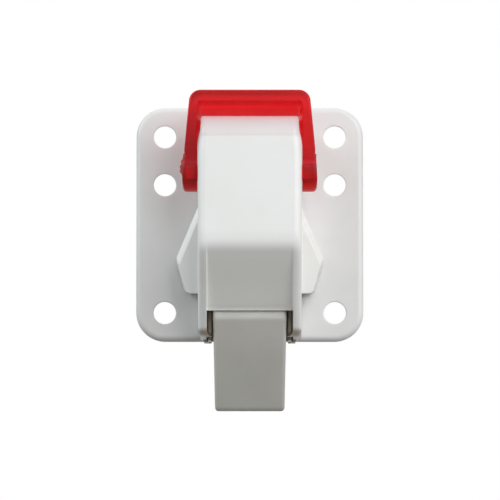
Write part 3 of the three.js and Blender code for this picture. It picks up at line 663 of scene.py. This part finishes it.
def latch_bolt():
    """The wedge as rounded rectangles at falling heights, its shoulder pierced by two turned pockets."""
    rings = []
    for z, front, half in bolt_rows():
        deep = front - BOLT_BACK
        corners = np.array([(half, BOLT_BACK), (half, front), (-half, front), (-half, BOLT_BACK)])
        ahead, behind = min(FRONT_EDGE, 0.5 * deep), min(BACK_EDGE, 0.2 * deep)
        loop = rounded_polygon(corners, (behind, ahead, ahead, behind), 8)
        rings.append(place(loop[:, 0], loop[:, 1], z))
    rings = np.stack(rings)
    count, wide, _ = rings.shape
    parts = [(rings.reshape(-1, 3), quads(count, wide))]
    t = np.linspace(0, 2 * np.pi, POCKET_STEPS, endpoint=False)
    radius, height = POCKET.T[:, :, None]
    for side in (-1, 1):
        x = side * SPRING_PLACE[0] + radius * np.cos(t)
        pocket = place(x, SPRING_PLACE[1] + radius * np.sin(t), height)
        parts.append((pocket, quads(len(POCKET), POCKET_STEPS)))
    points, faces = join(*parts)
    start = count * wide
    pockets = np.arange(start, len(points)).reshape(2, len(POCKET), POCKET_STEPS)
    shoulder = flat_fill(points[:, :2], [np.arange(wide), *pockets[:, 0]])
    end = np.arange(start - wide, start).tolist()
    wedge = points, faces + shoulder.tolist() + pockets[:, -1].tolist() + [end]
    blocks = [STEM, EARS]
    for low, high in LUG_SIDES:
        blocks += [((low, LUG_BACK, z), (high, LUG_FRONT, z + LUG_HEIGHT)) for z in LUG_FEET]
    return join(wedge, *[soft_box(*block, STEM_EDGE) for block in blocks])


# Painted light makes the bolt lighter towards its top and along the edge under the lip, where the lip shades
# it, and a painted highlight runs down its left side
grey = plastic("grey_acetal", (0.46, 0.455, 0.42), (0.42, 0.415, 0.38), 0.36, 0.03)
paint_light_and_shade(grey, (1.14, 1.13, 1.14), (0, 12, -21), (9, 3, 2), 9)
paint_light_and_shade(grey, (1.18, 1.2, 1.22), (0, 13, -21.4), (9, 1.2, 0.9), 0.8)
paint_light_and_shade(grey, (1.2, 1.2, 1.2), (-8.4, 9, -31), (0.9, 6, 12), 0.4)
bolt = put_piece("bolt", *latch_bolt(), "bolt", "grey_plastic", grey)
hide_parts("latch_bolt")


# Bolt springs: zinc-plated wire of 0.6 mm in eight turns, between the pockets and a ledge in the housing.
# A headed pin hangs from the ledge inside each of them. As the bolt draws in they shorten by half.
SPRING_TURNS = 8
SPRING_RADIUS = 1.8
SPRING_FOOT = -20.366
SPRING_RISE = 17.177
WIRE_RADIUS = 0.3
WIRE_SIDES = 12
TURN_STEPS = 40


def steel_finish(name, tone, roughness, streak):
    """Bright steel: a fine noise, scaled by streak along each axis, shifts its tone and gloss."""
    material = bpy.data.materials.new(name)
    material.use_nodes = True
    tree = material.node_tree
    shader = tree.nodes["Principled BSDF"]
    shader.inputs["Metallic"].default_value = 1
    where = node(tree, "TexCoord")
    stretch = node(tree, "Mapping", Scale=streak)
    noise = node(tree, "TexNoise", Scale=900.0, Detail=5.0, Roughness=0.65)
    shade = node(tree, "MapRange")
    shine = node(tree, "MapRange")
    shine.inputs["To Min"].default_value = roughness - 0.08
    shine.inputs["To Max"].default_value = roughness + 0.14
    mix = node(tree, "Mix", data_type="RGBA")
    mix.inputs[MIX_A].default_value = (*[0.72 * c for c in tone], 1)
    mix.inputs[MIX_B].default_value = (*tone, 1)
    link = tree.links.new
    link(where.outputs["Object"], stretch.inputs["Vector"])
    link(stretch.outputs["Vector"], noise.inputs["Vector"])
    link(noise.outputs["Fac"], shade.inputs["Value"])
    link(noise.outputs["Fac"], shine.inputs["Value"])
    link(shade.outputs["Result"], mix.inputs["Factor"])
    link(mix.outputs[MIX_OUT], shader.inputs["Base Color"])
    link(shine.outputs["Result"], shader.inputs["Roughness"])
    return material


def helix(side):
    """Wire centres at (1.8 cos t, 1.8 sin t, rise t / all turns), each with a ring of 0.3 mm about it."""
    whole = 2 * np.pi * SPRING_TURNS
    turn = np.linspace(0, whole, SPRING_TURNS * TURN_STEPS + 1)[:, None]
    around = np.linspace(0, 2 * np.pi, WIRE_SIDES, endpoint=False)[None]
    reach = SPRING_RADIUS + WIRE_RADIUS * np.cos(around)
    z = SPRING_FOOT + SPRING_RISE * turn / whole + WIRE_RADIUS * np.sin(around)
    rings = place(side * SPRING_PLACE[0] + reach * np.cos(turn), SPRING_PLACE[1] + reach * np.sin(turn), z)
    return lofted(rings.reshape(len(turn), WIRE_SIDES, 3))


zinc = steel_finish("zinc_plate", (0.62, 0.62, 0.61), 0.3, (1, 1, 1))
for side, name in ((-1, "left"), (1, "right")):
    spring = put_piece("spring_" + name, *helix(side), "case", "steel", zinc)
    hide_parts("bolt_spring_" + name)
    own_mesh(spring)
    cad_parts["spring_guide_" + name].data.materials[0] = zinc


# Shaft, cranks, spacer and bushes: a drawn steel shaft carries two pressed steel cranks and a black sleeve
# between them. It turns in two black acetal bushes in the housing's walls.
bare_steel = steel_finish("drawn_steel", (0.56, 0.56, 0.55), 0.28, (0.06, 1, 1))
black = plastic("black_acetal", (0.04, 0.04, 0.042), (0.026, 0.026, 0.027), 0.4, 0.03)
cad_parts["bail_shaft"].data.materials[0] = bare_steel
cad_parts["crank_spacer"].data.materials[0] = black
for name in ("left", "right"):
    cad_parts["lift_crank_" + name].data.materials[0] = bare_steel
    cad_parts["shaft_bush_" + name].data.materials[0] = black


# Release bail: a clear red polycarbonate stirrup, moulded in one, with its legs over the ends of the shaft.
# Its bar is a sloped band with rounded upper edges, and each leg ends in a squarish boss a little proud of
# it. The left boss has a rough nib, where the moulding was broken off its runner.
AXIS_DEPTH = 17.5
AXIS_HEIGHT = 9.2
BOSS_REACH = 4.1
BOSS_TOP = 13.8
BOSS_BULGE = 0.3
BOSS_ROUND = 1.3
BOSS_ROUND_TOP = 7.6
BOSS_ROUND_HEIGHT = 2.6
LEG_HALF = 2.95
LEG_TOP = 21
LEG_HEIGHTS = (4.1, 27.05)
LEG_SIDES = (14.65, 13.4)
LEG_EDGE = 0.4
FLARE = (12.4, 14)
NECK_SIDES = (13.65543, 13.3236435)
NECK_FRONT = 21.653
NECK_BACK = 13.175
NECK_EDGE = 0.75
BAIL_INSIDE = 11.5
BAIL_CORNER = 2.6
CORNER_MIDDLE = (10.725, 24.45)
INSIDE_CORNER = 0.7
INSIDE_DRAFT = 0.8
DRAFT_START = 15.5
BAR_FRONT = 22
BAR_BACK = 13
UNDER_FRONT = 24.4
UNDER_BACK = 22.5
BAR_EDGE = 1
INSIDE_EDGE = 0.25
NIB_DEPTH = 17.8
NIB_HEIGHT = 10.7


def boss_reach(along):
    """Half the boss's depth at a height off its axis: a squarish round, |d|^2.5 + |z|^2.5 = 4.1^2.5."""
    return BOSS_REACH * np.clip(1 - np.abs(along / BOSS_REACH) ** 2.5, 0, None) ** 0.4


def bail_rows():
    """Up a leg, straight on to the corner's start, round the corner and along half the bar.

    Columns: outer x and z, inner x, inner z in front and behind, front depth, back depth, edge radius.
    Outside, the legs lean in towards the top, more so above the bosses, and are rounded at the foot.
    """
    t = np.radians(np.linspace(-87, 0, 30))
    z = np.concatenate([
        AXIS_HEIGHT - BOSS_REACH * np.abs(np.sin(t)) ** 0.8,
        np.linspace(AXIS_HEIGHT, BOSS_TOP, 56)[1:], np.linspace(BOSS_TOP, LEG_TOP, 12)[1:],
    ])
    boss = boss_reach(z - AXIS_HEIGHT)
    rise = np.clip(z - AXIS_HEIGHT, 0, None)
    narrow = np.where(z < AXIS_HEIGHT, 0, LEG_HALF)
    spread = (BAR_FRONT - BAR_BACK) / 2 - LEG_HALF
    front = AXIS_DEPTH + np.maximum(boss, narrow + spread * rise / (UNDER_FRONT - AXIS_HEIGHT))
    back = AXIS_DEPTH - np.maximum(boss, narrow + spread * rise / (UNDER_BACK - AXIS_HEIGHT))
    outside = np.interp(z, LEG_HEIGHTS, LEG_SIDES) + (0.802 - 0.0417 * z) * ease(*FLARE, z)
    down = np.clip((BOSS_ROUND_TOP - z) / BOSS_ROUND_HEIGHT, 0, 1)
    outside -= BOSS_ROUND * (1 - np.sqrt(1 - down**2))
    leg = np.column_stack([outside, z, 0 * z + BAIL_INSIDE, z, z, front, back, 0 * z + LEG_EDGE])
    t = np.radians(np.linspace(0, 90, 13))
    cos, sin = np.cos(t), np.sin(t)
    corner = np.column_stack([
        CORNER_MIDDLE[0] + BAIL_CORNER * cos, CORNER_MIDDLE[1] + BAIL_CORNER * sin,
        BAIL_INSIDE - INSIDE_CORNER * (1 - cos),
        UNDER_FRONT - INSIDE_CORNER * (1 - sin), UNDER_BACK - INSIDE_CORNER * (1 - sin),
        BAR_FRONT + 0 * t, BAR_BACK + 0 * t, NECK_EDGE + (BAR_EDGE - NECK_EDGE) * t / t[-1],
    ])
    start = np.array([NECK_SIDES[0], LEG_TOP, BAIL_INSIDE, LEG_TOP, LEG_TOP, NECK_FRONT, NECK_BACK, LEG_EDGE])
    end = np.array([NECK_SIDES[1], *corner[0, 1:]])
    neck = start + np.linspace(0, 1, 11)[1:, None] * (end - start)
    s = np.linspace(1, 0, 25)[1:, None]
    bar = np.tile(corner[-1], (len(s), 1))
    bar[:, [0, 2]] *= s
    return np.concatenate([leg, neck, corner[1:], bar])


def between(count):
    """Even steps strictly between 0 and 1."""
    return np.linspace(0, 1, count + 2)[None, 1:-1]


def release_bail():
    """A rounded quadrilateral carried along the rows.

    P = inner + a (outer - inner) across the wall and back + b (front - back) in depth, with a and b going
    round: forward on the outer face, over the front, backward on the inner face and over the back.
    """
    half = bail_rows()
    rows = np.concatenate([half, half[-2::-1]])
    sign = np.concatenate([np.ones(len(half)), -np.ones(len(half) - 1)])[:, None]
    outer_x, outer_z, inner_x, inner_front_z, inner_back_z, front, back, edge = rows.T[:, :, None]
    thick = np.hypot(outer_x - inner_x, outer_z - (inner_front_z + inner_back_z) / 2)
    deep = front - back
    ra, rb = np.minimum(edge / thick, 0.45), np.minimum(edge / deep, 0.45)
    na, nb = INSIDE_EDGE / thick, INSIDE_EDGE / deep
    t = np.radians(np.linspace(0, 90, 7))[None]
    rising, falling = 1 - np.cos(t), 1 - np.sin(t)
    outer_run, side_run, inner_run = between(64), between(8), between(16)
    a = np.concatenate([
        1 + 0 * ra * outer_run, 1 - ra * rising, 1 - ra - (1 - ra - na) * side_run, na * falling,
        0 * ra * inner_run, na * rising, na + (1 - ra - na) * side_run, 1 - ra * falling,
    ], axis=1)
    b = np.concatenate([
        rb + (1 - 2 * rb) * outer_run, 1 - rb * falling, 1 + 0 * rb * side_run, 1 - nb * rising,
        1 - nb - (1 - 2 * nb) * inner_run, nb * falling, 0 * rb * side_run, rb * rising,
    ], axis=1)
    draft = INSIDE_DRAFT * ease(DRAFT_START, LEG_TOP, outer_z) * (1 - b)
    inner_x = inner_x - draft * (inner_x / BAIL_INSIDE)
    inner_z = inner_back_z + b * (inner_front_z - inner_back_z)
    x = inner_x + a * (outer_x - inner_x)
    z = inner_z + a * (outer_z - inner_z)
    d = back + b * deep
    outside = np.clip((a - 0.6) / 0.4, 0, 1)
    x += BOSS_BULGE * ease(0, 0.3, boss_reach(z - AXIS_HEIGHT) - np.abs(d - AXIS_DEPTH)) * outside
    off = z - NIB_HEIGHT
    nib = np.exp(-((d - NIB_DEPTH) / 1.3) ** 4 - (off / 1.9) ** 4) * outside
    rough = 0.52 - 0.1 * off + 0.1 * np.sin(5.1 * z + 2 * d) + 0.08 * np.sin(9.7 * z - 4.3 * d + 1)
    x += np.where(sign < 0, rough * nib, 0)
    return lofted(place(sign * x, d, z).reshape(*x.shape, 3))


# Painted light and shade on the bail: each boss has painted shade below, a painted highlight band across it
# and painted shade at its top. The bar's underside has painted light in front and painted shade behind, its
# front painted shade along its lower edge, and the left leg painted shade too.
red = plastic("red_polycarbonate", (0.78, 0.009, 0.013), (0.68, 0.006, 0.01), 0.34, 0.015)
clear = red.node_tree.nodes["Principled BSDF"]
clear.inputs["IOR"].default_value = 1.26
clear.inputs["Specular IOR Level"].default_value = 0.2
clear.inputs["Transmission Weight"].default_value = 1.0
paint_light_and_shade(red, (0.77, 0.1, 0.2), (0, 17.5, 7.6), (16, 4.2, 2.9), 0.3)
paint_light_and_shade(red, (0.84, 0.9, 1.0), (0, 17.5, 13), (16, 4.2, 0.8), 0.5)
paint_light_and_shade(red, (1.0, 2.0, 2.5), (0, 17.5, 10.6), (16, 4.2, 0.7), 0.3)
paint_light_and_shade(red, (1.28, 1.2, 1.2), (0, 20.1, 23.3), (10.6, 1.8, 1.05), 0.4)
paint_light_and_shade(red, (0.86, 0.95, 0.95), (0, 14.8, 22.6), (10.6, 1.9, 0.6), 1.2)
paint_light_and_shade(red, (0.88, 0.95, 0.95), (0, 22.4, 24.9), (11, 1, 0.5), 0.5)
paint_light_and_shade(red, (0.8, 1.15, 1.25), (-13.8, 17.5, 20.5), (1.4, 6, 5.5), 1.8)
bail = put_piece("bail", *release_bail(), "bail", "red_plastic", red)
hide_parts("release_bail")


# Housing screws: four zinc-plated steel screws with pan heads and a pressed cross recess. They are driven
# from the plate's back, the lower two into the housing's wings and the upper two into bosses at its walls.
# Their heads are sunk, so that the plate lies flat.
SCREW_STEPS = 96
HEAD_RADIUS = 2.2
HEAD_EDGE = 0.4
HEAD_BACK = 0.2
HEAD_FRONT = 1.6
SHANK_RADIUS = 1.1
SHANK_END = 9.3
SCREW_END = 10.4
CROSS_LENGTH = 1.2
CROSS_WIDTH = 0.3
CROSS_DEPTH = 0.7
CROSS_SLOPE = 0.12


def cross_bar(along, across):
    """1 inside one bar of the cross, falling to 0 in a straight slope at its sides and ends."""
    inside = 1
    for value, size in ((along, CROSS_LENGTH), (across, CROSS_WIDTH)):
        inside = inside * np.clip((size - value) / CROSS_SLOPE + 0.5, 0, 1)
    return inside


def pan_screw(x, z):
    """A profile turned about the screw's line, with both bars of the cross pressed into the head."""
    t = np.linspace(0, 2 * np.pi, SCREW_STEPS, endpoint=False)[None]
    crown = np.linspace(0.02, HEAD_RADIUS - HEAD_EDGE, 42)
    edge = arc((HEAD_RADIUS - HEAD_EDGE, HEAD_BACK + HEAD_EDGE), HEAD_EDGE, 270, 360, 7)[1:]
    rest = np.array([
        (HEAD_RADIUS, HEAD_FRONT), (SHANK_RADIUS, HEAD_FRONT), (SHANK_RADIUS, SHANK_END), (0.05, SCREW_END),
    ])
    radius = np.concatenate([crown, edge[:, 0], rest[:, 0]])[:, None]
    depth = np.concatenate([HEAD_BACK + 0 * crown, edge[:, 1], rest[:, 1]])[:, None]
    u, v = np.abs(radius * np.cos(t)), np.abs(radius * np.sin(t))
    pressed = CROSS_DEPTH * np.maximum(cross_bar(v, u), cross_bar(u, v)) * (depth < 1.0)
    points = place(x + radius * np.cos(t), depth + pressed, z + radius * np.sin(t))
    return lofted(points.reshape(len(radius), SCREW_STEPS, 3))


for (x, z), name in zip(SCREWS, ("upper_left", "upper_right", "lower_left", "lower_right")):
    screw = put_piece("screw_" + name, *pan_screw(x, z), "case", "steel", zinc)
    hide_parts("housing_screw_" + name)


# Stage: the lock hangs in front of plain white, without a floor, since the camera looks up at it from below.
# Three large lamps light it softly from the front, left and right, and a weak one stands behind and above.
# The world is white where it is seen, reflected or refracted, and lights the lock dimly, more from above.
CAMERA_AIM = Vector((0.00005, -0.003, -0.0056))
CAMERA_DISTANCE = 2
CAMERA_TILT = np.radians(9)
WORLD_BELOW = 0.172
WORLD_ABOVE = 0.35

world = bpy.data.worlds.new("white_room")
bpy.context.scene.world = world
world.use_nodes = True
tree = world.node_tree
sky = tree.nodes["Background"]
sky.inputs["Color"].default_value = (1, 1, 1, 1)
ray = node(tree, "LightPath")
way = node(tree, "TexCoord")
split = node(tree, "SeparateXYZ")
fade = node(tree, "MapRange")
for socket, value in (("From Min", -1), ("From Max", 1), ("To Min", WORLD_BELOW), ("To Max", WORLD_ABOVE)):
    fade.inputs[socket].default_value = value
seen = node(tree, "Math", operation="MAXIMUM")
shown = node(tree, "Math", operation="MAXIMUM")
pick = node(tree, "Mix", data_type="FLOAT")
pick.inputs["B"].default_value = 1
tree.links.new(way.outputs["Generated"], split.inputs[0])
tree.links.new(split.outputs["Z"], fade.inputs["Value"])
tree.links.new(ray.outputs["Is Camera Ray"], seen.inputs[0])
tree.links.new(ray.outputs["Is Transmission Ray"], seen.inputs[1])
tree.links.new(seen.outputs[0], shown.inputs[0])
tree.links.new(ray.outputs["Is Glossy Ray"], shown.inputs[1])
tree.links.new(shown.outputs[0], pick.inputs["Factor"])
tree.links.new(fade.outputs["Result"], pick.inputs["A"])
tree.links.new(pick.outputs["Result"], sky.inputs["Strength"])


def soft_light(name, place_m, size, watts, colour=(1, 1, 1)):
    """A square lamp that faces the middle of the lock."""
    lamp = bpy.data.lights.new(name, "AREA")
    lamp.size = size
    lamp.energy = watts
    lamp.color = colour
    made = bpy.data.objects.new(name, lamp)
    made.location = place_m
    made.rotation_euler = (-Vector(place_m)).to_track_quat("-Z", "Y").to_euler()
    bpy.context.scene.collection.objects.link(made)


soft_light("key", (0.5, -1.0, 0.5), 0.8, 7.7)
soft_light("left", (-1.0, -0.4, 0.6), 0.6, 7.3, (0.9, 0.98, 1))
soft_light("right", (0.95, -0.55, 0.35), 0.6, 3.8)
soft_light("back", (0.05, 0.4, 0.9), 0.4, 0.3)

camera = bpy.data.objects.new("camera", bpy.data.cameras.new("camera"))
camera.data.lens = 654
camera.data.sensor_width = 36
camera.data.clip_start = 0.05
camera.location = CAMERA_AIM + CAMERA_DISTANCE * Vector((0, -np.cos(CAMERA_TILT), -np.sin(CAMERA_TILT)))
camera.rotation_euler = (CAMERA_AIM - camera.location).to_track_quat("-Z", "Y").to_euler()
bpy.context.scene.collection.objects.link(camera)
bpy.context.scene.camera = camera
bpy.context.scene.view_settings.view_transform = "Standard"
